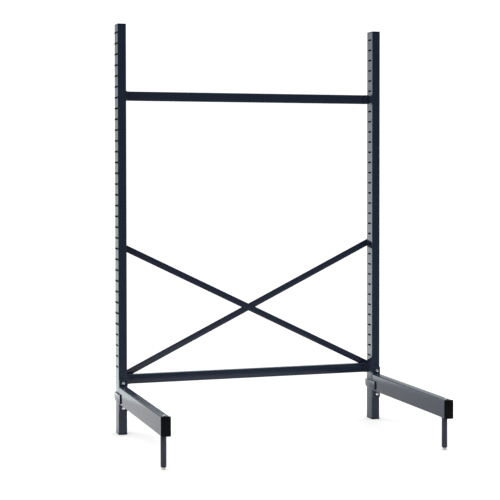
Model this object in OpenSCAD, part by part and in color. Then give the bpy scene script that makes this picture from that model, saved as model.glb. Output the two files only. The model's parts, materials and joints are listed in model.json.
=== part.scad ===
// Free-standing rack frame: two slotted uprights, two tie bars, two crossed braces
// and two base arms, each arm bolted to its upright and held up at the tip by a leg.
// Millimetres, +Z up, arms point to -Y, origin on the floor at the middle of the footprint.

/* [Uprights] */
// Distance between the two upright centre lines
spacing = 1275; // [700:5:1800]
// Width of an upright seen from the front
upright_w = 40; // [36:1:60]
// Depth of an upright from front to back
upright_d = 65; // [56:1:80]
// Height of the whole rack above the floor
rack_h = 1905; // [1705:50:2105]
// Wall of the upright tube
upright_wall = 2; // [1.5:0.5:3]

/* [Slots] */
// Height of the middle of the lowest slot
slot_low_z = 314; // [304:1:324]
// Distance from one slot to the next
slot_pitch = 50; // [40:1:50]
// Length of a slot in the inner side of an upright
slot_len = 36; // [24:1:40]
// How much longer the same slot is in the outer side
slot_more = 14; // [0:1:14]
// Height of a slot
slot_h = 8; // [5:0.5:10]
// Number of slots up each side
slot_count = 32; // [8:1:32]
// How far the rim of a slot stands out on the outer side
rim_out = 2; // [1:0.5:3]

/* [Tie bars] */
// Height of the middle of the bottom tie bar
bottom_bar_z = 250; // [245:1:255]
// Height of the middle of the top tie bar
top_bar_z = 1573; // [1100:1:1650]
// Height of the section of a tie bar
bar_h = 44; // [40:1:50]
// Depth of the section of a tie bar
bar_d = 20; // [16:1:24]
// Sheet thickness of a tie bar
bar_wall = 2.5; // [2:0.5:3]

/* [Braces] */
// Height of a brace centre line at its upper upright
brace_high_z = 868; // [700:2:900]
// Width of a brace
brace_w = 30; // [26:1:34]

/* [Base arms] */
// Distance from the front of an upright to the tip of its arm
arm_reach = 770; // [400:10:900]
// Width of an arm
arm_w = 40; // [36:1:44]
// Height of an arm
arm_h = 80; // [60:2:84]
// Height of the underside of an arm above the floor
arm_low_z = 144; // [130:2:150]
// Thickness of the plate between arm and upright
plate_t = 8; // [6:1:12]

/* [Legs] */
// Distance from the tip of an arm to the middle of its leg
leg_set = 42; // [36:1:80]
// Outside diameter of a leg
leg_dia = 25; // [24:1:28]

/* [Hidden] */
$fn = 48;
navy = [0.10, 0.13, 0.20];
zinc = [0.75, 0.76, 0.77];
dark = [0.16, 0.17, 0.19];
black = [0.07, 0.07, 0.08];
pale = [0.82, 0.82, 0.80];
eps = 0.01;

cap_t = 5;
corner_r = 3;
rim_wall = 1.5;
plain_slots = 4;
outer_slot_len = min(slot_len + slot_more, upright_d - 2 * corner_r - 2 * rim_wall - 1);
cheek_t = 6;
cheek_back = 4;
cheek_front = 42;
cheek_h = 40;
cheek_low_z = arm_low_z + 8;
cleat_t = 4;
cleat_w = 23;
bolt_set = 12;
bolt_split = 12;
brace_t = 4;
brace_head = 5;

total_d = arm_reach + upright_d + 2 * brace_t + brace_head;
front_y = arm_reach - total_d / 2;
back_y = front_y + upright_d;
face_x = spacing / 2 - upright_w / 2;
tip_y = front_y - arm_reach;

bar_front_y = back_y - bar_d;
cleat_front_y = bar_front_y - cleat_t;
cleat_deep = cleat_front_y - front_y - 4;
brace_low_z = bottom_bar_z + 16;
brace_slope = (brace_high_z - brace_low_z) / (2 * face_x);
brace_bolt_low = brace_low_z - brace_slope * upright_w / 2;
brace_bolt_high = brace_high_z + brace_slope * upright_w / 2;
brace_end = 14;

plate_h = arm_h + 70;
plate_low_z = arm_low_z + arm_h / 2 - plate_h / 2;
arm_bolt_off = arm_h / 2 + 17;
arm_cap_t = 5;
arm_cap_over = 1.5;
arm_wall = 2.5;
arm_len = arm_reach - plate_t - arm_cap_t;
tip_bolt_set = 22;

foot_h = 11;
leg_low_z = foot_h + 3;
leg_wall = 2;
screw_r = 4;

// ---- shared shapes ----

// Rectangle with round corners, centred
module round_rect(w, d, r) {
  square([w - 2 * r, d], center = true);
  square([w, d - 2 * r], center = true);
  for (sx = [-1, 1], sy = [-1, 1])
    translate([sx * (w / 2 - r), sy * (d / 2 - r)])
      circle(r = r);
}

// Wall of a rectangular tube, centred
module tube_section(w, d, r, wall) {
  difference() {
    round_rect(w, d, r);
    round_rect(w - 2 * wall, d - 2 * wall, max(r - wall, 0.5));
  }
}

// Round bar along Y from y0 to y1
module bar_y(r, y0, y1) {
  translate([0, y1, 0])
    rotate([90, 0, 0])
      cylinder(r = r, h = y1 - y0);
}

// Six-sided bar along Y from y0 to y1, af across flats
module hex_y(af, y0, y1) {
  translate([0, y1, 0])
    rotate([90, 0, 0])
      cylinder(r = af / sqrt(3), h = y1 - y0, $fn = 6);
}

// Outline of one slot as seen from the side of an upright
module slot_outline(long, more = 0) {
  square([long - slot_h, slot_h + 2 * more], center = true);
  for (s = [-1, 1])
    translate([s * (long - slot_h) / 2, 0])
      circle(r = slot_h / 2 + more);
}

// ---- uprights ----

// Raised rim of one slot on the outer side, still closed in the middle
module slot_rim(side, z) {
  translate([side > 0 ? upright_w / 2 - 0.5 : -upright_w / 2 - rim_out, 0, z])
    rotate([90, 0, 90])
      linear_extrude(height = rim_out + 0.5)
        slot_outline(outer_slot_len, rim_wall);
}

// Cutter of one slot: through both walls, longer in the outer one
module slot_cut(side, z) {
  translate([-upright_w / 2 - 1, 0, z])
    rotate([90, 0, 90])
      linear_extrude(height = upright_w + 2)
        slot_outline(slot_len);
  translate([side > 0 ? upright_w / 2 - upright_wall - 1 : -upright_w / 2 - rim_out - 1, 0, z])
    rotate([90, 0, 90])
      linear_extrude(height = upright_wall + rim_out + 2)
        slot_outline(outer_slot_len);
}

module upright(side) {
  color(navy)
    translate([side * spacing / 2, front_y + upright_d / 2, 0])
      difference() {
        union() {
          translate([0, 0, cap_t])
            linear_extrude(height = rack_h - 2 * cap_t)
              tube_section(upright_w, upright_d, corner_r, upright_wall);
          for (i = [plain_slots : slot_count - 1])
            slot_rim(side, slot_low_z + i * slot_pitch);
        }
        for (i = [0 : slot_count - 1])
          slot_cut(side, slot_low_z + i * slot_pitch);
        for (s = [-1, 1])
          translate([0, -upright_d / 2, arm_low_z + arm_h / 2 + s * arm_bolt_off])
            bar_y(4.5, -1, upright_wall + 1);
        for (z = [brace_bolt_low, brace_bolt_high])
          translate([0, upright_d / 2, z])
            bar_y(4.5, -upright_wall - 1, 1);
      }
}

// Plastic plug with a flange as wide as the tube
module upright_cap(side, top) {
  z0 = top ? rack_h - cap_t : 0;
  plug_z = top ? rack_h - cap_t - 15 : cap_t - eps;
  color(black)
    translate([side * spacing / 2, front_y + upright_d / 2, 0])
      union() {
        translate([0, 0, z0])
          linear_extrude(height = cap_t)
            round_rect(upright_w, upright_d, corner_r);
        translate([0, 0, plug_z])
          linear_extrude(height = 15 + eps)
            tube_section(upright_w - 2 * upright_wall, upright_d - 2 * upright_wall, 1, 2);
      }
}

// ---- tie bars and cleats ----

// Channel open to the back
module tie_bar(z) {
  color(navy)
    translate([0, 0, z])
      difference() {
        translate([-face_x + 0.5, bar_front_y, -bar_h / 2])
          cube([2 * face_x - 1, bar_d, bar_h]);
        translate([-face_x, bar_front_y + bar_wall, -bar_h / 2 + bar_wall])
          cube([2 * face_x, bar_d, bar_h - 2 * bar_wall]);
        for (s = [-1, 1], t = [-1, 1])
          translate([s * (face_x - bolt_set), 0, t * bolt_split])
            bar_y(3.4, bar_front_y - 1, bar_front_y + bar_wall + 1);
      }
}

// Angle on the inner side of an upright; its narrow leg lies on the end of a tie bar
module cleat(side, z) {
  color(navy)
    translate([0, 0, z - bar_h / 2])
      difference() {
        union() {
          translate([side > 0 ? face_x - cleat_t : -face_x, front_y + 4, 0])
            cube([cleat_t, cleat_deep + cleat_t, bar_h]);
          translate([side > 0 ? face_x - cleat_w : -face_x, cleat_front_y, 0])
            cube([cleat_w, cleat_t, bar_h]);
        }
        for (t = [-1, 1])
          translate([side * (face_x - bolt_set), 0, bar_h / 2 + t * bolt_split])
            bar_y(3.4, cleat_front_y - 1, cleat_front_y + cleat_t + 1);
      }
}

// Hexagon head screw along Y with its head towards the front
module screw_y(r, af, head, y_head, y_end) {
  union() {
    hex_y(af, y_head - head, y_head);
    bar_y(r, y_head - eps, y_end);
  }
}

module tie_bar_bolts() {
  color(dark)
    for (s = [-1, 1], z = [bottom_bar_z, top_bar_z], t = [-1, 1])
      translate([s * (face_x - bolt_set), 0, z + t * bolt_split])
        screw_y(3, 10, 4, cleat_front_y, bar_front_y + bar_wall + 8);
}

module tie_bar_nuts() {
  color(dark)
    for (s = [-1, 1], z = [bottom_bar_z, top_bar_z], t = [-1, 1])
      translate([s * (face_x - bolt_set), 0, z + t * bolt_split])
        difference() {
          hex_y(10, bar_front_y + bar_wall, bar_front_y + bar_wall + 5);
          bar_y(3.3, bar_front_y, bar_front_y + bar_wall + 8);
        }
}

// ---- braces ----

// Places that take a brace bolt: side, height, and 1 where the brace lies on a spacer
brace_points = [
  [-1, brace_bolt_high, 0], [1, brace_bolt_low, 0],
  [1, brace_bolt_high, 1], [-1, brace_bolt_low, 1]
];

// Flat bar behind the uprights; dir = 1 is high on the right, dir = -1 is high on the left
module brace(dir, y0) {
  run = spacing;
  rise = brace_bolt_high - brace_bolt_low;
  long = sqrt(run * run + rise * rise);
  color(navy)
    translate([0, y0 + brace_t, (brace_bolt_high + brace_bolt_low) / 2])
      rotate([90, 0, 0])
        rotate([0, 0, dir * atan(rise / run)])
          linear_extrude(height = brace_t)
            difference() {
              square([long + 2 * brace_end, brace_w], center = true);
              for (s = [-1, 1])
                translate([s * long / 2, 0])
                  circle(r = 4.5);
            }
}

module brace_bolts() {
  color(dark)
    for (p = brace_points) {
      y1 = back_y + (1 + p[2]) * brace_t;
      translate([p[0] * spacing / 2, 0, p[1]])
        union() {
          hex_y(13, y1, y1 + brace_head);
          bar_y(4, back_y - upright_wall - 9, y1 + eps);
        }
    }
}

module brace_nuts() {
  color(dark)
    for (p = brace_points)
      translate([p[0] * spacing / 2, 0, p[1]])
        difference() {
          hex_y(13, back_y - upright_wall - 6.5, back_y - upright_wall);
          bar_y(4.3, back_y - upright_wall - 8, back_y);
        }
}

module brace_spacers() {
  color(dark)
    for (p = brace_points)
      if (p[2] == 1)
        translate([p[0] * spacing / 2, 0, p[1]])
          difference() {
            bar_y(9, back_y, back_y + brace_t);
            bar_y(4.5, back_y - 1, back_y + brace_t + 1);
          }
}

// ---- base arms ----

module base_arm(side) {
  color(navy)
    translate([side * spacing / 2, front_y - plate_t, arm_low_z + arm_h / 2])
      difference() {
        rotate([90, 0, 0])
          linear_extrude(height = arm_len)
            tube_section(arm_w, arm_h, 4, arm_wall);
        translate([0, -arm_reach + plate_t + tip_bolt_set, 0])
          cylinder(r = 4.5, h = arm_h);
      }
}

module arm_plate(side) {
  color(navy)
    translate([side * spacing / 2, front_y - plate_t, plate_low_z])
      difference() {
        translate([-upright_w / 2, 0, 0])
          cube([upright_w, plate_t, plate_h]);
        for (s = [-1, 1])
          translate([0, 0, plate_h / 2 + s * arm_bolt_off])
            bar_y(4.5, -1, plate_t + 1);
      }
}

// Flat strip along the side of arm, plate and upright; lower rear corner cut off
module cheek(side, out) {
  w = max(arm_w, upright_w) / 2;
  y0 = front_y - cheek_front;
  y1 = back_y + cheek_back;
  x0 = side * spacing / 2 + (out > 0 ? w : -w - cheek_t);
  color(navy)
    translate([x0, 0, cheek_low_z])
      rotate([90, 0, 90])
        linear_extrude(height = cheek_t)
          polygon([
            [y0, 0], [y1 - 20, 0], [y1, 12], [y1, cheek_h], [y0, cheek_h]
          ]);
}

module arm_cap(side) {
  color(black)
    translate([side * spacing / 2, tip_y, arm_low_z + arm_h / 2])
      union() {
        translate([0, arm_cap_t, 0])
          rotate([90, 0, 0])
            linear_extrude(height = arm_cap_t)
              round_rect(arm_w + 2 * arm_cap_over, arm_h + 2 * arm_cap_over, 4);
        translate([0, arm_cap_t + 7, 0])
          rotate([90, 0, 0])
            linear_extrude(height = 7 + eps)
              tube_section(arm_w - 2 * arm_wall, arm_h - 2 * arm_wall, 1.5, 2);
      }
}

module arm_bolts(side) {
  color(zinc)
    for (s = [-1, 1])
      translate([side * spacing / 2, 0, arm_low_z + arm_h / 2 + s * arm_bolt_off])
        screw_y(4, 13, 5.3, front_y - plate_t - 1.6, front_y + upright_wall + 9);
}

module arm_washers(side) {
  color(dark)
    for (s = [-1, 1])
      translate([side * spacing / 2, front_y - plate_t, arm_low_z + arm_h / 2 + s * arm_bolt_off])
        difference() {
          bar_y(8.5, -1.6, 0);
          bar_y(4.5, -4, 1);
        }
}

module arm_nuts(side) {
  color(zinc)
    for (s = [-1, 1])
      translate([side * spacing / 2, front_y + upright_wall, arm_low_z + arm_h / 2 + s * arm_bolt_off])
        difference() {
          hex_y(13, 0, 6.5);
          bar_y(4.3, -1, 12);
        }
}

module tip_bolt(side) {
  color(zinc)
    translate([side * spacing / 2, tip_y + tip_bolt_set, arm_low_z + arm_h])
      union() {
        cylinder(r = 13 / sqrt(3), h = 5.3, $fn = 6);
        translate([0, 0, -14])
          cylinder(r = 4, h = 14 + eps);
      }
}

module tip_nut(side) {
  color(zinc)
    translate([side * spacing / 2, tip_y + tip_bolt_set, arm_low_z + arm_h - arm_wall - 6.5])
      difference() {
        cylinder(r = 13 / sqrt(3), h = 6.5, $fn = 6);
        translate([0, 0, -1])
          cylinder(r = 4.3, h = 10);
      }
}

// ---- legs ----

module leg(side) {
  color(navy)
    translate([side * spacing / 2, tip_y + leg_set, leg_low_z])
      difference() {
        cylinder(d = leg_dia, h = arm_low_z - leg_low_z);
        translate([0, 0, -1])
          cylinder(d = leg_dia - 2 * leg_wall, h = arm_low_z);
      }
}

// Plug in the end of the leg with the thread of the foot
module leg_insert(side) {
  color(black)
    translate([side * spacing / 2, tip_y + leg_set, leg_low_z])
      difference() {
        union() {
          translate([0, 0, -2])
            cylinder(d = leg_dia, h = 2);
          translate([0, 0, -eps])
            cylinder(d = leg_dia - 2 * leg_wall - 0.6, h = 22);
        }
        translate([0, 0, -3])
          cylinder(r = screw_r + 0.05, h = 30);
      }
}

// Round foot with a flat underneath, on its screw
module levelling_foot(side) {
  color(pale)
    translate([side * spacing / 2, tip_y + leg_set, 0])
      union() {
        intersection() {
          translate([0, 0, 11.2])
            sphere(r = 12);
          cylinder(r = 9.5, h = foot_h);
        }
        translate([0, 0, foot_h - 1])
          cylinder(r = screw_r, h = 36);
      }
}

upright(-1);  // left_upright
upright(1);  // right_upright
upright_cap(-1, true);  // left_top_cap
upright_cap(1, true);  // right_top_cap
upright_cap(-1, false);  // left_bottom_cap
upright_cap(1, false);  // right_bottom_cap
tie_bar(top_bar_z);  // top_tie_bar
tie_bar(bottom_bar_z);  // bottom_tie_bar
cleat(-1, top_bar_z);  // top_left_cleat
cleat(1, top_bar_z);  // top_right_cleat
cleat(-1, bottom_bar_z);  // bottom_left_cleat
cleat(1, bottom_bar_z);  // bottom_right_cleat
brace(-1, back_y);  // falling_brace
brace(1, back_y + brace_t);  // rising_brace
tie_bar_bolts();
tie_bar_nuts();
brace_bolts();
brace_spacers();
brace_nuts();
base_arm(-1);  // left_base_arm
base_arm(1);  // right_base_arm
arm_plate(-1);  // left_arm_plate
arm_plate(1);  // right_arm_plate
cheek(-1, -1);  // left_outer_cheek
cheek(-1, 1);  // left_inner_cheek
cheek(1, -1);  // right_inner_cheek
cheek(1, 1);  // right_outer_cheek
arm_cap(-1);  // left_arm_cap
arm_cap(1);  // right_arm_cap
arm_bolts(-1);  // left_arm_bolts
arm_bolts(1);  // right_arm_bolts
arm_washers(-1);  // left_arm_washers
arm_washers(1);  // right_arm_washers
arm_nuts(-1);  // left_arm_nuts
arm_nuts(1);  // right_arm_nuts
tip_bolt(-1);  // left_tip_bolt
tip_bolt(1);  // right_tip_bolt
tip_nut(-1);  // left_tip_nut
tip_nut(1);  // right_tip_nut
leg(-1);  // left_leg
leg(1);  // right_leg
leg_insert(-1);  // left_leg_insert
leg_insert(1);  // right_leg_insert
levelling_foot(-1);  // left_levelling_foot
levelling_foot(1);  // right_levelling_foot
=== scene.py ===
import json
import math

import bmesh
import bpy
import numpy as np
from mathutils import Matrix, Vector


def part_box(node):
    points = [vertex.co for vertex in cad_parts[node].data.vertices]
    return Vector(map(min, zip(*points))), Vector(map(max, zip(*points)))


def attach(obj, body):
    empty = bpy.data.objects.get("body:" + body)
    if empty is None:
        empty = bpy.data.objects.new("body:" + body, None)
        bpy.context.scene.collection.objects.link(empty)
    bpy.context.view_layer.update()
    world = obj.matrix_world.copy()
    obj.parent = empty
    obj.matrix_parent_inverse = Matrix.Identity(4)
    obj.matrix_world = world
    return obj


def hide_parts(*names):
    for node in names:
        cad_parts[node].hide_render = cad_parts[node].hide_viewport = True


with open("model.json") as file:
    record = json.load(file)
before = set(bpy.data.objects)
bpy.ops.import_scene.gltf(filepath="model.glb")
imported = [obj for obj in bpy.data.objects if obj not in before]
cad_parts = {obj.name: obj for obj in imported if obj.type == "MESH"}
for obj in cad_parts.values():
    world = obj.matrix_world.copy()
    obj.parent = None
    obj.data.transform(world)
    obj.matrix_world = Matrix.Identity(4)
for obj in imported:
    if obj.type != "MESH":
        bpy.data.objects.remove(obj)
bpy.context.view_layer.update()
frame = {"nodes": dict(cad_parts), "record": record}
scene = bpy.context.scene

# ---- values ----

MM = 0.001
SIDES = (("left", -1.0), ("right", 1.0))
BAR_WEB, CLEAT_WALL, BRACE_WALL, SPACER_OUTSIDE = 2.5 * MM, 4 * MM, 4 * MM, 9 * MM
ARM_WALL, LEG_WALL, CAP_RIM, PLUG_WALL, ARM_HALF_WIDTH = 2.5 * MM, 2 * MM, 5 * MM, 2 * MM, 20 * MM
M6_ACROSS, M6_RADIUS, M6_PITCH, M6_HEAD, M6_NUT = 10 * MM, 3 * MM, 1.0 * MM, 4 * MM, 5 * MM
M8_ACROSS, M8_RADIUS, M8_PITCH, M8_HEAD, M8_NUT = 13 * MM, 4 * MM, 1.25 * MM, 5.3 * MM, 6.5 * MM
M8_HOLE = 4.5 * MM

PAINT_IOR, PLASTIC_IOR = 1.34, 1.15

FLOOR_TONE = (0.94, 0.88, 0.88)
LIGHT_TONE = (0.925, 0.99, 0.985)
BACK_LIGHT, FRONT_LIGHT, TOP_LIGHT, SEEN_LIGHT = 1.75, 0.32, 2.1, 1.1
LEFT_BOOST, LOW_BOOST, HIGH_CUT, MIDDLE_CUT = 1.35, 1.80, 0.78, 0.52
FLOOR_SIZE, FLOOR_BACK, FLOOR_SIDES = 1.35, 0.3, 96

PICTURE, SENSOR = 500, 36.0
CAM_AT = (-1.9943, -5.4935, 1.2328)
CAM_YAW, CAM_PITCH, CAM_ROLL = 16.732, -1.369, -0.101
CAM_FOCAL, CAM_CX, CAM_CY = 1294.48, 205.00, 200.00

# ---- camera ----


def look_matrix(at, yaw, pitch, roll):
    """Camera pose from its place and its yaw to the right, pitch up and roll, in degrees."""
    y, p, r = (math.radians(v) for v in (yaw, pitch, roll))
    ahead = Vector((math.sin(y) * math.cos(p), math.cos(y) * math.cos(p), math.sin(p)))
    right = Vector((math.cos(y), -math.sin(y), 0.0))
    up = right.cross(ahead)
    side = right * math.cos(r) + up * math.sin(r)
    top = up * math.cos(r) - right * math.sin(r)
    turn = Matrix((side, top, -ahead)).transposed().to_4x4()
    return Matrix.Translation(at) @ turn


camera = bpy.data.objects.new("camera", bpy.data.cameras.new("camera"))
scene.collection.objects.link(camera)
scene.camera = camera
camera.data.sensor_width = SENSOR
camera.data.lens = CAM_FOCAL / PICTURE * SENSOR
camera.data.shift_x = (PICTURE / 2 - CAM_CX) / PICTURE
camera.data.shift_y = (CAM_CY - PICTURE / 2) / PICTURE
camera.data.clip_end = 100.0
camera.matrix_world = look_matrix(CAM_AT, CAM_YAW, CAM_PITCH, CAM_ROLL)

scene.view_settings.view_transform = "Standard"
scene.view_settings.look = "None"


# ---- shader values ----

class Value:
    """One socket of a node tree; sums, products and number - value on it add Math nodes."""

    def __init__(self, finish, socket):
        self.finish, self.socket = finish, socket

    def _do(self, operation, a, b):
        return self.finish.node("ShaderNodeMath", {"operation": operation}, {0: a, 1: b})

    def __add__(self, other):
        return self._do("ADD", self, other)

    def __rsub__(self, other):
        return self._do("SUBTRACT", other, self)

    def __mul__(self, other):
        return self._do("MULTIPLY", self, other)

    __radd__ = __add__
    __rmul__ = __mul__


class Finish:
    """A material, or the world, and its nodes."""

    def __init__(self, name, world=False):
        self.block = (bpy.data.worlds if world else bpy.data.materials).new(name)
        self.block.use_nodes = True
        self.tree = self.block.node_tree
        self.tree.nodes.clear()

    def node(self, kind, settings=None, inputs=None, out=0):
        """A node of that type: its settings are set first, then its sockets get values or links."""
        n = self.tree.nodes.new(kind)
        for key, value in (settings or {}).items():
            setattr(n, key, value)
        for key, value in (inputs or {}).items():
            if isinstance(value, Value):
                self.tree.links.new(value.socket, n.inputs[key])
            else:
                n.inputs[key].default_value = value
        return Value(self, n.outputs[out] if len(n.outputs) else None)

    def close(self, shader, kind="ShaderNodeOutputMaterial"):
        self.node(kind, None, {"Surface": shader})
        return self.block

    def coat(self, inputs):
        """The material, made of one principled shader with those inputs."""
        return self.close(self.node("ShaderNodeBsdfPrincipled", None, inputs))

    def place(self, stretch=(1.0, 1.0, 1.0)):
        """Object coordinates, stretched along the axes."""
        here = self.node("ShaderNodeTexCoord", out="Object")
        return self.node("ShaderNodeMapping", None, {"Vector": here, "Scale": stretch})

    def noise(self, scale, detail=2.0, stretch=(1.0, 1.0, 1.0)):
        return self.node("ShaderNodeTexNoise", None, {
            "Vector": self.place(stretch), "Scale": scale, "Detail": detail, "Roughness": 0.5})

    def cells(self, scale, out="Distance"):
        return self.node("ShaderNodeTexVoronoi", {"feature": "F1"}, {
            "Vector": self.place(), "Scale": scale}, out=out)

    def ramp(self, value, low, high, first=0.0, last=1.0):
        """First below low and last above high, smooth between."""
        return self.node("ShaderNodeMapRange", {"interpolation_type": "SMOOTHSTEP"}, {
            "Value": value, "From Min": low, "From Max": high, "To Min": first, "To Max": last})

    def blend(self, factor, low, high):
        """Colour that goes from low, a colour or a value, to the colour high with the factor."""
        return self.node("ShaderNodeMix", {"data_type": "RGBA"}, {
            0: factor,
            6: low if isinstance(low, Value) else (*low, 1.0),
            7: (*high, 1.0)}, out=2)

    def bump(self, height, depth, under=None):
        inputs = {"Height": height, "Distance": depth, "Strength": 1.0}
        if under is not None:
            inputs["Normal"] = under
        return self.node("ShaderNodeBump", None, inputs)

    def up(self):
        """1 on faces that look straight up, 0 on upright and lower ones."""
        normal = self.node("ShaderNodeNewGeometry", out="Normal")
        return self.ramp(self.node("ShaderNodeSeparateXYZ", None, {0: normal}, out=2), 0.5, 0.98)


def navy_paint():
    """Glossy powder coat: deep navy with a faint mottle, an orange peel, and fine dust on top faces."""
    f = Finish("navy_paint")
    mottle = f.noise(7.0, 4.0)
    fine = f.noise(160.0, 2.0)
    peel = f.noise(380.0, 2.0)
    sheet_wave = f.noise(16.0, 1.0)
    rub = f.ramp(f.noise(26.0, 5.0, (1.0, 1.0, 0.25)), 0.60, 0.78)
    dust = f.up() * f.ramp(f.noise(55.0, 5.0), 0.35, 0.75)
    tone = f.blend(mottle * 0.7 + fine * 0.3, (0.0120, 0.0172, 0.0345), (0.0175, 0.0245, 0.0460))
    return f.coat({
        "Base Color": f.blend(dust * 0.10, tone, (0.16, 0.16, 0.155)),
        "Roughness": 0.11 + 0.07 * f.noise(1400.0, 1.0) + 0.05 * rub + 0.10 * dust,
        "IOR": PAINT_IOR,
        "Normal": f.bump(peel, 0.000028, f.bump(sheet_wave, 0.00035))})


def zinc():
    """Bright zinc plate: pale grey flakes a little different in tone, with fine tool marks."""
    f = Finish("zinc")
    flake = f.cells(700.0, "Color")
    marks = f.noise(2400.0, 3.0, (1.0, 0.2, 1.0))
    return f.coat({
        "Base Color": f.blend(flake, (0.66, 0.67, 0.68), (0.82, 0.82, 0.80)),
        "Metallic": 1.0,
        "Roughness": 0.20 + 0.18 * marks,
        "Normal": f.bump(marks, 0.00002)})


def dark_steel():
    """Black oxide on small fasteners: near black with an oily, uneven sheen."""
    f = Finish("dark_steel")
    oil = f.noise(420.0, 3.0)
    return f.coat({
        "Base Color": f.blend(oil, (0.022, 0.023, 0.027), (0.060, 0.060, 0.066)),
        "Metallic": 0.7,
        "Roughness": 0.28 + 0.22 * oil,
        "Normal": f.bump(f.noise(2600.0, 2.0), 0.000015)})


def black_plastic():
    """Moulded plastic with a fine pebbled grain."""
    f = Finish("black_plastic")
    pebble = f.cells(1300.0)
    scuff = f.ramp(f.noise(90.0, 5.0), 0.58, 0.75)
    tone = 0.6 * f.noise(240.0, 2.0) + 0.4 * scuff
    return f.coat({
        "Base Color": f.blend(tone, (0.0028, 0.0032, 0.0042), (0.0070, 0.0076, 0.0092)),
        "Roughness": 0.40 + 0.12 * pebble + 0.08 * scuff,
        "IOR": PLASTIC_IOR,
        "Normal": f.bump(pebble, 0.00005)})


def foot_plastic():
    """Milky nylon: pale grey, a little cloudy, smooth with faint turning rings."""
    f = Finish("foot_plastic")
    cloud = f.noise(130.0, 4.0)
    grime = f.ramp(f.noise(300.0, 4.0), 0.55, 0.8)
    tone = f.blend(cloud, (0.60, 0.59, 0.56), (0.74, 0.73, 0.70))
    return f.coat({
        "Base Color": f.blend(grime * 0.25, tone, (0.30, 0.29, 0.27)),
        "Roughness": 0.36 + 0.16 * cloud,
        "Normal": f.bump(f.noise(900.0, 2.0, (0.1, 0.1, 1.0)), 0.00003)})


FINISHES = {make.__name__: make() for make in (navy_paint, zinc, dark_steel, black_plastic, foot_plastic)}
slots = {s["node"]: s["material_slot"] for s in frame["record"]["subparts"]}
for name, obj in frame["nodes"].items():
    obj.data.materials.clear()
    obj.data.materials.append(FINISHES[slots[name]])


# ---- surfaces ----

def unit(v):
    """Each vector divided by its length."""
    return v / np.linalg.norm(v, axis=-1, keepdims=True)


def skin(rings, wrap=False):
    """Closed skin over rings (m x n x 3): four-sided faces between neighbours, and a flat face on the
    first and last ring, or the last ring joined to the first. Turned over if its volume is negative."""
    m, n = rings.shape[:2]
    i = np.arange(m if wrap else m - 1)[:, None]
    j = np.arange(n)[None, :]
    quads = np.stack(np.broadcast_arrays(
        i * n + j, i * n + (j + 1) % n, (i + 1) % m * n + (j + 1) % n, (i + 1) % m * n + j), axis=-1)
    points = rings.reshape(-1, 3)
    faces = quads.reshape(-1, 4).tolist()
    if not wrap:
        faces += [list(range(n))[::-1], list(range((m - 1) * n, m * n))]
    a, b, c, d = (points[quads[..., k]] - points.mean(axis=0) for k in range(4))
    size = (np.cross(a, b) * c).sum() + (np.cross(a, c) * d).sum()
    if not wrap:
        for end, way in ((rings[0], -1.0), (rings[-1], 1.0)):
            e = end - points.mean(axis=0)
            size += way * (np.cross(np.roll(e, 1, axis=0), e) @ e[0]).sum()
    return points, faces if size > 0 else [f[::-1] for f in faces]


def joined(parts):
    """Several skins as one mesh."""
    parts = list(parts)
    starts = np.cumsum([0] + [len(points) for points, _ in parts])
    faces = [[v + int(start) for v in f] for (_, fs), start in zip(parts, starts) for f in fs]
    return np.concatenate([points for points, _ in parts]), faces


def facing(points, axis):
    """Points (u, v, w) laid so that w runs along the named axis."""
    order = {"x": (2, 0, 1), "y": (0, 2, 1), "z": (0, 1, 2)}[axis]
    return points[..., order]


def piece(name, mesh_parts, finish, *nodes, body="rack", sharp=32.0):
    """An object from points and faces that stands for CAD nodes; edges turn smoothly below the sharp angle."""
    points, faces = mesh_parts
    mesh = bpy.data.meshes.new(name)
    mesh.from_pydata(points, [], faces)
    mesh.shade_smooth()
    mesh.set_sharp_from_angle(angle=math.radians(sharp))
    mesh.materials.append(FINISHES[finish])
    obj = bpy.data.objects.new(name, mesh)
    scene.collection.objects.link(obj)
    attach(obj, body)
    if nodes:
        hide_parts(*nodes)


def rounded(corners, radii, steps=5):
    """Outline with its corners turned on circles: from the point that lies radius / tan(half angle) before
    a corner to the one as far after it, about a centre radius / sin(half angle) along the bisector."""
    p = np.asarray(corners, float)
    r = np.broadcast_to(np.asarray(radii, float), len(p))[:, None]
    a = unit(np.roll(p, 1, axis=0) - p)
    b = unit(np.roll(p, -1, axis=0) - p)
    half = np.arccos(np.clip((a * b).sum(axis=1, keepdims=True), -1, 1)) / 2
    centre = p + unit(a + b) * r / np.sin(half)
    u = (p + a * r / np.tan(half) - centre)[:, None]
    v = (p + b * r / np.tan(half) - centre)[:, None]
    turn = (math.pi - 2 * half)[:, None]
    t = np.linspace(0, 1, steps + 1)[None, :, None]
    arc = centre[:, None] + (np.sin((1 - t) * turn) * u + np.sin(t * turn) * v) / np.sin(turn)
    arc = arc.reshape(-1, 2)
    x, y = arc.T
    area = (x * np.roll(y, -1) - y * np.roll(x, -1)).sum()
    return arc if area > 0 else arc[::-1]


def rectangle(w, h, r, at=(0.0, 0.0), steps=5):
    """Outline of w by h about a point, with its corners rounded by r."""
    x, y = at
    x0, x1, y0, y1 = x - w / 2, x + w / 2, y - h / 2, y + h / 2
    return rounded([(x0, y0), (x1, y0), (x1, y1), (x0, y1)], r, steps)


def inset(outline, amounts):
    """Outline moved inwards by each amount, every point along the mean of its two edges' normals, made
    longer by the turn between them."""
    after = unit(np.roll(outline, -1, axis=0) - outline) @ np.array([[0, 1], [-1, 0]])
    before = np.roll(after, 1, axis=0)
    way = (after + before) / (1 + (after * before).sum(axis=1, keepdims=True))
    return outline[None] + np.asarray(amounts)[:, None, None] * way[None]


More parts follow.
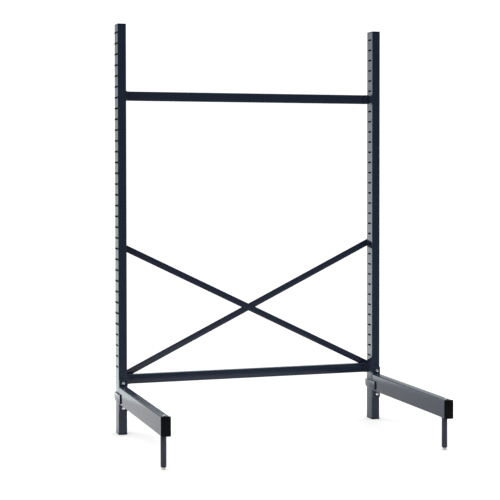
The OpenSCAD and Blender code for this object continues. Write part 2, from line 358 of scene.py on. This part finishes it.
def slab(outline, low, high, edge, axis="z", crown=0.0, steps=3):
    """Outline carried from low to high along an axis. Both rims are quarter circles of radius edge, and
    the high face may be crowned: it rises by crown times 1 - (1 - t) squared towards the middle."""
    turn = np.linspace(0, math.pi / 2, steps + 1)
    inward, rise = edge * (1 - np.sin(turn)), edge * (1 - np.cos(turn))
    flat = inset(outline, np.concatenate([inward, inward[::-1]]))
    top = high - crown
    level = np.concatenate([low + rise, top - rise[::-1]])
    rings = np.concatenate([flat, np.broadcast_to(level[:, None, None], (*flat.shape[:2], 1))], axis=-1)
    if crown:
        t = np.linspace(0, 0.96, 9)[1:, None, None]
        middle = rings[-1].mean(axis=0)
        more = middle + (rings[-1][None] - middle) * (1 - t)
        more[..., 2:] += crown * (1 - (1 - t) ** 2)
        rings = np.concatenate([rings, more])
    return skin(facing(rings, axis))


def turned(profile, at, axis="z", sides=48, wrap=False):
    """Profile of (radius, height) pairs turned about an axis through at."""
    radius, height = np.asarray(profile, float).T
    angle = np.arange(sides) * 2 * math.pi / sides
    rings = np.stack([radius[:, None] * np.cos(angle), radius[:, None] * np.sin(angle),
                      np.broadcast_to(height[:, None], (len(radius), sides))], axis=-1)
    return skin(facing(rings, axis) + np.asarray(at), wrap)


def hexagon(across, low, high, at, axis="z", bore=0.0, blunt=(0.0, 1.0), sides=48):
    """Six-sided head or nut. The distance from the axis is the least of that to the flats, across / 2 over
    the cosine of the angle from the middle of the flat, and of a 30 degree cone at each blunted end."""
    angle = np.arange(sides) * 2 * math.pi / sides
    flats = across / 2 / np.cos(np.mod(angle, math.pi / 3) - math.pi / 6)
    step = np.array([0.0, 0.018, 0.036, 0.054, 0.075]) * across
    way = 1.0 if high > low else -1.0
    level = np.concatenate([low + way * step, high - way * step[::-1]])
    cone = np.full(len(level), 9.0)
    for end, used in zip((low, high), blunt):
        if used:
            cone = np.minimum(cone, 0.475 * across + np.abs(level - end) * 1.732)
    reach = np.minimum(np.minimum(flats[None], cone[:, None]), 0.568 * across)
    if bore:
        lip = 0.05 * across
        reach = np.concatenate([reach, np.broadcast_to(
            np.array([bore + lip, bore, bore, bore + lip])[:, None], (4, sides))])
        level = np.concatenate([level, [high, high - way * lip, low + way * lip, low]])
    rings = np.stack([reach * np.cos(angle), reach * np.sin(angle),
                      np.broadcast_to(level[:, None], reach.shape)], axis=-1)
    return skin(facing(rings, axis) + np.asarray(at), bool(bore))


def thread(radius, pitch, low, high, at, axis="z", sides=24):
    """Rod with a thread: its radius falls by 0.3 pitch in a wave that climbs one pitch a turn, and its far
    end is blunted by a cone."""
    angle = np.arange(sides) * 2 * math.pi / sides
    count = int(abs(high - low) / pitch * 6) + 2
    level = np.linspace(low, high, count)
    wave = 0.5 + 0.5 * np.cos(2 * math.pi * level[:, None] / pitch - angle[None])
    reach = np.minimum(radius - 0.3 * pitch * wave, (radius * 0.8 + np.abs(high - level))[:, None])
    rings = np.stack([reach * np.cos(angle), reach * np.sin(angle),
                      np.broadcast_to(level[:, None], reach.shape)], axis=-1)
    return skin(facing(rings, axis) + np.asarray(at))


def bead(path, out_a, out_b, size, ripple=1.9 * MM):
    """Weld bead in the corner along a path: a quarter-round section between the directions out_a and
    out_b, swollen by a tenth at each ripple, and drawn in to nothing at its two ends."""
    length = np.concatenate([[0], np.cumsum(np.linalg.norm(np.diff(path, axis=0), axis=1))])
    near = np.clip(np.minimum(length, length[-1] - length) / size, 0.03, 1)
    swell = (0.90 + 0.14 * np.abs(np.sin(math.pi * length / ripple))) * np.sqrt(1 - (1 - near) ** 2)
    turn = np.linspace(0, math.pi / 2, 7)[None, :, None]
    a, b = (np.broadcast_to(v, path.shape)[:, None] for v in (out_a, out_b))
    arc = path[:, None] + size * swell[:, None, None] * (np.cos(turn) ** 0.85 * a + np.sin(turn) ** 0.85 * b)
    root = path[:, None] - 0.3 * MM * (a + b)
    return skin(np.concatenate([arc, root], axis=1))


def straight(start, end):
    """Points 0.6 mm apart on the line from start to end."""
    start, end = np.asarray(start, float), np.asarray(end, float)
    count = int(np.linalg.norm(end - start) / (0.6 * MM)) + 2
    return start + (end - start) * np.linspace(0, 1, count)[:, None]


def softened(name, node, width):
    """Copy of a CAD node, merged and with its flat faces joined, whose sharp edges are rounded."""
    mesh = frame["nodes"][node].data.copy()
    mesh.name = name
    work = bmesh.new()
    work.from_mesh(mesh)
    bmesh.ops.remove_doubles(work, verts=work.verts[:], dist=2e-6)
    bmesh.ops.dissolve_limit(work, angle_limit=math.radians(0.6), verts=work.verts[:], edges=work.edges[:])
    work.to_mesh(mesh)
    work.free()
    mesh.shade_smooth()
    mesh.set_sharp_from_angle(angle=math.radians(32))
    obj = bpy.data.objects.new(name, mesh)
    scene.collection.objects.link(obj)
    rim = obj.modifiers.new("rim", "BEVEL")
    rim.limit_method, rim.angle_limit = "ANGLE", math.radians(50)
    rim.width, rim.segments, rim.use_clamp_overlap = width, 2, True
    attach(obj, "rack")
    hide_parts(node)


def ends(node):
    """Lowest and highest corner of a CAD node's box."""
    low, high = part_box(node)
    return np.array(low), np.array(high)


def centre(node):
    return sum(ends(node)) / 2


# ---- tubes, bars and plates ----

spacing = 2 * centre("right_upright")[0]
post_low, post_high = ends("right_upright")
post_x, post_front, post_back = spacing / 2, post_low[1], post_high[1]
face_x = post_low[0]

for side, _ in SIDES:
    softened(f"{side}_upright_tube", f"{side}_upright", 0.35 * MM)

for place in ("top", "bottom"):
    low, high = ends(f"{place}_tie_bar")
    web = BAR_WEB
    y0, y1, z0, z1 = low[1], high[1], low[2], high[2]
    channel = rounded([(y1, z0), (y1, z0 + web), (y0 + web, z0 + web), (y0 + web, z1 - web),
                       (y1, z1 - web), (y1, z1), (y0, z1), (y0, z0)],
                      np.array([0.8, 0.8, 0.8, 0.8, 0.8, 0.8, 3.2, 3.2]) * MM)
    piece(f"{place}_bar_channel", slab(channel, low[0], high[0], 0.4 * MM, "x"), "navy_paint",
          f"{place}_tie_bar")
    for side, s in SIDES:
        node = f"{place}_{side}_cleat"
        low, high = ends(node)
        wall, t = (high[0] if s > 0 else low[0]), CLEAT_WALL
        tip = low[0] if s > 0 else high[0]
        angle_iron = rounded([(wall, low[1]), (wall, high[1]), (tip, high[1]), (tip, high[1] - t),
                              (wall - s * t, high[1] - t), (wall - s * t, low[1])],
                             np.array([0.8, 4.5, 1.0, 1.0, 1.2, 1.0]) * MM)
        piece(f"{node}_iron", slab(angle_iron, low[2], high[2], 0.6 * MM), "navy_paint", node)

for node, rise in (("falling_brace", -1.0), ("rising_brace", 1.0)):
    low, high = ends(node)
    lift = ends("brace_bolts")[1][2] - ends("brace_bolts")[0][2] - M8_ACROSS
    slope = math.atan2(lift, spacing) * rise
    strip = rectangle(math.hypot(spacing, lift) + 28 * MM, 30 * MM, 3 * MM)
    turn = np.array([[math.cos(slope), math.sin(slope)], [-math.sin(slope), math.cos(slope)]])
    strip = strip @ turn + centre(node)[[0, 2]]
    piece(f"{node}_strip", slab(strip, low[1], high[1], 0.7 * MM, "y"), "navy_paint", node)

for side, _ in SIDES:
    low, high = ends(f"{side}_base_arm")
    x, _, z = centre(f"{side}_base_arm")
    wide, _, tall = high - low
    outside = rectangle(wide, tall, 4 * MM, (x, z), 8)
    inside = rectangle(wide - 2 * ARM_WALL, tall - 2 * ARM_WALL, 1.5 * MM, (x, z), 8)
    loop = [(outside, low[1]), (outside, high[1]), (inside, high[1]), (inside, low[1])]
    rings = np.stack([np.column_stack([o, np.full(len(o), y)]) for o, y in loop])
    piece(f"{side}_arm_tube", skin(facing(rings, "y"), wrap=True), "navy_paint", f"{side}_base_arm")

    low, high = ends(f"{side}_arm_plate")
    plate = rectangle(high[0] - low[0], high[2] - low[2], 3 * MM, centre(f"{side}_arm_plate")[[0, 2]])
    piece(f"{side}_plate_slab", slab(plate, low[1], high[1], 2.2 * MM, "y"), "navy_paint",
          f"{side}_arm_plate")

    for place in ("outer", "inner"):
        node = f"{side}_{place}_cheek"
        low, high = ends(node)
        y0, y1, z0, z1 = low[1], high[1], low[2], high[2]
        strap = rounded([(y0, z0), (y1 - 20 * MM, z0), (y1, z0 + 12 * MM), (y1, z1), (y0, z1)],
                        np.array([1.5, 3.0, 3.0, 1.5, 1.5]) * MM)
        piece(f"{node}_strap", slab(strap, low[0], high[0], 0.8 * MM, "x"), "navy_paint", node)

    low, high = ends(f"{side}_leg")
    x, y, _ = centre(f"{side}_leg")
    r = (high[0] - low[0]) / 2
    leg = [(r, high[2]), (r, low[2] + 0.8 * MM), (r - 0.25 * MM, low[2] + 0.2 * MM), (r - 0.8 * MM, low[2]),
           (r - LEG_WALL, low[2]), (r - LEG_WALL, high[2])]
    piece(f"{side}_leg_tube", turned(leg, (x, y, 0), wrap=True, sides=64), "navy_paint", f"{side}_leg")

    low, high = ends(f"{side}_leg_insert")
    bore, plug = M8_RADIUS + 0.05 * MM, r - LEG_WALL - 0.3 * MM
    insert = [(bore, low[2] + 0.5 * MM), (bore + 0.5 * MM, low[2]), (r - 0.9 * MM, low[2]),
              (r - 0.2 * MM, low[2] + 0.5 * MM), (r, low[2] + 1.1 * MM), (r, low[2] + 2 * MM),
              (plug, low[2] + 2 * MM), (plug, high[2] - 1 * MM), (plug - 1 * MM, high[2]), (bore, high[2])]
    piece(f"{side}_leg_plug", turned(insert, (x, y, 0), wrap=True), "black_plastic", f"{side}_leg_insert")

    low, high = ends(f"{side}_levelling_foot")
    ball, middle = 12 * MM, low[2] + 11.2 * MM
    base = math.sqrt(ball ** 2 - (middle - low[2]) ** 2)
    under, over = low[2] - middle, low[2] + 8.2 * MM - middle
    turn = np.linspace(math.asin(under / ball), math.asin(over / ball), 18)
    dome = np.column_stack([np.minimum(ball * np.cos(turn), 9.5 * MM), middle + ball * np.sin(turn)])
    rest = [(base - 0.6 * MM, low[2])]
    neck = [(9.0 * MM, low[2] + 9.4 * MM), (7.6 * MM, low[2] + 10.4 * MM), (5.6 * MM, low[2] + 10.9 * MM),
            (4.2 * MM, low[2] + 11 * MM)]
    foot = turned(np.concatenate([rest, dome, neck]), (x, y, 0), sides=64)
    stem = thread(M8_RADIUS, M8_PITCH, low[2] + 10.5 * MM, high[2], (x, y, 0), sides=32)
    piece(f"{side}_foot_turned", joined([foot, stem]), "foot_plastic", f"{side}_levelling_foot",
          body=f"{side}_foot")

# ---- caps ----


def tube_plug(outline, low, high, axis):
    """Hollow plug behind a cap: the outline and the same outline a wall further in, from low to high."""
    inner = inset(outline, [PLUG_WALL])[0]
    loop = [(outline, low), (inset(outline, [0.6 * MM])[0], high), (inner, high), (inner, low)]
    return skin(facing(np.stack([np.column_stack([o, np.full(len(o), w)]) for o, w in loop]), axis), wrap=True)


for side, _ in SIDES:
    for place in ("top", "bottom"):
        node = f"{side}_{place}_cap"
        low, high = ends(node)
        here = centre(node)[:2]
        wide, deep, _ = high - low
        way = 1.0 if place == "top" else -1.0
        inner, plug_end = (high[2] - CAP_RIM, low[2]) if way > 0 else (low[2] + CAP_RIM, high[2])
        flange = rectangle(wide, deep, 3 * MM, here, 8)
        points, faces = slab(flange, 0.0, CAP_RIM, 1.2 * MM, crown=0.8 * MM if way > 0 else 0.0)
        points = points * np.array([1, 1, way]) + np.array([0, 0, inner])
        faces = faces if way > 0 else [f[::-1] for f in faces]
        plug = tube_plug(rectangle(wide - 4 * MM, deep - 4 * MM, 1.2 * MM, here), inner, plug_end, "z")
        piece(f"{node}_moulded", joined([(points, faces), plug]), "black_plastic", node)

    node = f"{side}_arm_cap"
    low, high = ends(node)
    here = centre(node)[[0, 2]]
    wide, _, tall = high - low
    flange = rectangle(wide, tall, 4 * MM, here, 8)
    points, faces = slab(flange, 0.0, CAP_RIM, 1.4 * MM, "y", crown=0.7 * MM)
    points = points * np.array([1, -1, 1]) + np.array([0, low[1] + CAP_RIM, 0])
    plug = tube_plug(rectangle(wide - 8 * MM, tall - 8 * MM, 1.5 * MM, here), low[1] + CAP_RIM, high[1], "y")
    piece(f"{node}_moulded", joined([(points, [f[::-1] for f in faces]), plug]), "black_plastic", node)

# ---- fasteners ----

bar_x = face_x - 12 * MM
flange_front = ends("top_left_cleat")[1][1] - CLEAT_WALL
web_back = ends("top_tie_bar")[0][1] + BAR_WEB
bar_places = [(s * bar_x, 0, centre(f"{place}_tie_bar")[2] + t * 12 * MM)
              for s in (-1, 1) for t in (-1, 1) for place in ("top", "bottom")]
piece("tie_bar_screws", joined(part for at in bar_places for part in (
    hexagon(M6_ACROSS, flange_front, flange_front - M6_HEAD, at, "y"),
    thread(M6_RADIUS, M6_PITCH, flange_front, web_back + 8 * MM, at, "y"))), "dark_steel", "tie_bar_bolts")
piece("tie_bar_hex_nuts", joined(
    hexagon(M6_ACROSS, web_back, web_back + M6_NUT, at, "y", M6_RADIUS, (0.0, 1.0)) for at in bar_places),
    "dark_steel", "tie_bar_nuts")

low, high = ends("brace_bolts")
z0, z1 = low[2] + M8_ACROSS / 2, high[2] - M8_ACROSS / 2
near, far = post_back + BRACE_WALL, post_back + 2 * BRACE_WALL
brace_places = [((-post_x, 0, z1), near), ((post_x, 0, z0), near),
                ((post_x, 0, z1), far), ((-post_x, 0, z0), far)]
piece("brace_screws", joined(part for at, head in brace_places for part in (
    hexagon(M8_ACROSS, head, head + 5 * MM, at, "y"),
    turned([(M8_RADIUS, head + 0.2 * MM), (M8_RADIUS, post_back - 10.5 * MM), (3.4 * MM, post_back - 11 * MM)],
           at, "y"))), "dark_steel", "brace_bolts")
piece("brace_hex_nuts", joined(
    hexagon(M8_ACROSS, post_back - 2 * MM, post_back - 2 * MM - M8_NUT, at, "y", M8_RADIUS)
    for at, _ in brace_places), "dark_steel", "brace_nuts")
spacer = [(M8_HOLE, post_back), (SPACER_OUTSIDE, post_back), (SPACER_OUTSIDE, near), (M8_HOLE, near)]
piece("brace_rings", joined(turned(spacer, at, "y", wrap=True) for at, head in brace_places if head == far),
      "dark_steel", "brace_spacers")

for side, s in SIDES:
    low, high = ends(f"{side}_arm_washers")
    front, back = low[1], high[1]
    places = [(s * post_x, 0, z) for z in (low[2] + 8.5 * MM, high[2] - 8.5 * MM)]
    piece(f"{side}_arm_screws", joined(part for at in places for part in (
        hexagon(M8_ACROSS, front, front - M8_HEAD, at, "y"),
        thread(M8_RADIUS, M8_PITCH, front, post_front + 11 * MM, at, "y", 32))), "zinc", f"{side}_arm_bolts")
    washer = [(M8_HOLE, front + 0.2 * MM), (4.8 * MM, front), (8.1 * MM, front), (8.4 * MM, front + 0.3 * MM),
              (8.5 * MM, back - 0.1 * MM), (8.3 * MM, back), (M8_HOLE, back)]
    piece(f"{side}_arm_rings", joined(turned(washer, at, "y", wrap=True) for at in places),
          "dark_steel", f"{side}_arm_washers")
    nut = post_front + 2 * MM
    piece(f"{side}_arm_hex_nuts", joined(
        hexagon(M8_ACROSS, nut, nut + M8_NUT, at, "y", M8_RADIUS) for at in places), "zinc", f"{side}_arm_nuts")
    low, high = ends(f"{side}_tip_bolt")
    at = (s * post_x, centre(f"{side}_tip_bolt")[1], 0)
    top = high[2] - M8_HEAD
    collar = [(6.3 * MM, top), (6.3 * MM, top + 0.4 * MM), (6.1 * MM, top + 0.5 * MM)]
    piece(f"{side}_tip_screw", joined([
        turned(collar, at),
        hexagon(M8_ACROSS, top + 0.4 * MM, high[2], at),
        thread(M8_RADIUS, M8_PITCH, top, low[2], at, sides=32)]), "zinc", f"{side}_tip_bolt")
    top = ends(f"{side}_tip_nut")[1][2]
    piece(f"{side}_tip_hex_nut", hexagon(M8_ACROSS, top, top - M8_NUT, at, bore=M8_RADIUS), "zinc",
          f"{side}_tip_nut")

# ---- welds ----

X, Y, Z = np.eye(3)
for side, s in SIDES:
    back = ends(f"{side}_base_arm")[1][1]
    bottom, top = (v[2] for v in ends(f"{side}_base_arm"))
    x = s * post_x
    beads = [bead(straight((x - 15 * MM, back, z), (x + 15 * MM, back, z)), -Y, w * Z, 3.2 * MM)
             for z, w in ((top, 1), (bottom, -1))]
    low, high = ends(f"{side}_outer_cheek")
    for e in (-1, 1):
        wall = x + e * ARM_HALF_WIDTH
        beads += [bead(straight((wall, low[1] + 3 * MM, z), (wall, back - 1 * MM, z)), e * X, w * Z, 2.4 * MM)
                  for z, w in ((high[2], 1), (low[2], -1))]
    low, high = ends(f"{side}_leg")
    angle = np.linspace(0, 2 * math.pi, 130)
    ray = np.column_stack([np.cos(angle), np.sin(angle), 0 * angle])
    ring = ray * (high[0] - low[0]) / 2 + np.array([*centre(f"{side}_leg")[:2], high[2]])
    beads.append(bead(ring, ray, -Z, 3.0 * MM))
    wall = s * face_x
    for place in ("top", "bottom"):
        low, high = ends(f"{place}_{side}_cleat")
        seam = straight((wall, low[1], low[2] + 2 * MM), (wall, low[1], high[2] - 2 * MM))
        beads.append(bead(seam, -Y, -s * X, 2.4 * MM))
    piece(f"{side}_weld_beads", joined(beads), "navy_paint", sharp=50)


# ---- studio ----

def floor():
    """Round sheet of pale floor."""
    angle = np.arange(FLOOR_SIDES) * 2 * math.pi / FLOOR_SIDES
    x, y = FLOOR_SIZE * np.cos(angle), FLOOR_SIZE * np.sin(angle) + FLOOR_BACK
    mesh = bpy.data.meshes.new("floor")
    mesh.from_pydata(np.column_stack([x, y, 0 * angle]), [], [list(range(FLOOR_SIDES))])
    obj = bpy.data.objects.new("floor", mesh)
    scene.collection.objects.link(obj)
    f = Finish("floor")
    mesh.materials.append(f.close(f.node("ShaderNodeBsdfDiffuse", None, {"Color": (*FLOOR_TONE, 1.0)})))


def studio():
    """White light: strong from the back wall, most at its left and least at its middle, a little stronger
    below the horizon than above it, weak from the sides and the open front, and strong overhead."""
    f = Finish("studio", world=True)
    ways = f.node("ShaderNodeTexCoord", out="Generated")

    def along(x, y, z):
        return f.node("ShaderNodeVectorMath", {"operation": "DOT_PRODUCT"}, {0: ways, 1: (x, y, z)}, out=1)

    back, left, up = along(0.0, 1.0, 0.0), along(-1.0, 0.0, 0.0), along(0.0, 0.0, 1.0)
    wall = f.ramp(back, 0.45, 0.85, FRONT_LIGHT, BACK_LIGHT)
    wall = wall * f.ramp(left, 0.22, 0.55, 1.0, LEFT_BOOST) * f.ramp(up, -0.16, 0.20, LOW_BOOST, HIGH_CUT)
    middle = f.ramp(left, 0.30, 0.44, 1.0, 0.0) * f.ramp(up, -0.28, -0.06, 0.0, MIDDLE_CUT)
    top = f.ramp(up, 0.35, 0.90, 0.0, TOP_LIGHT)
    seen = f.node("ShaderNodeLightPath", out="Is Camera Ray")
    light = f.node("ShaderNodeBackground", None, {
        "Color": (*LIGHT_TONE, 1.0), "Strength": wall * (1.0 - middle) + top})
    plain = f.node("ShaderNodeBackground", None, {"Color": (1.0, 1.0, 1.0, 1.0), "Strength": SEEN_LIGHT})
    both = f.node("ShaderNodeMixShader", None, {0: seen, 1: light, 2: plain})
    scene.world = f.close(both, "ShaderNodeOutputWorld")


floor()
studio()
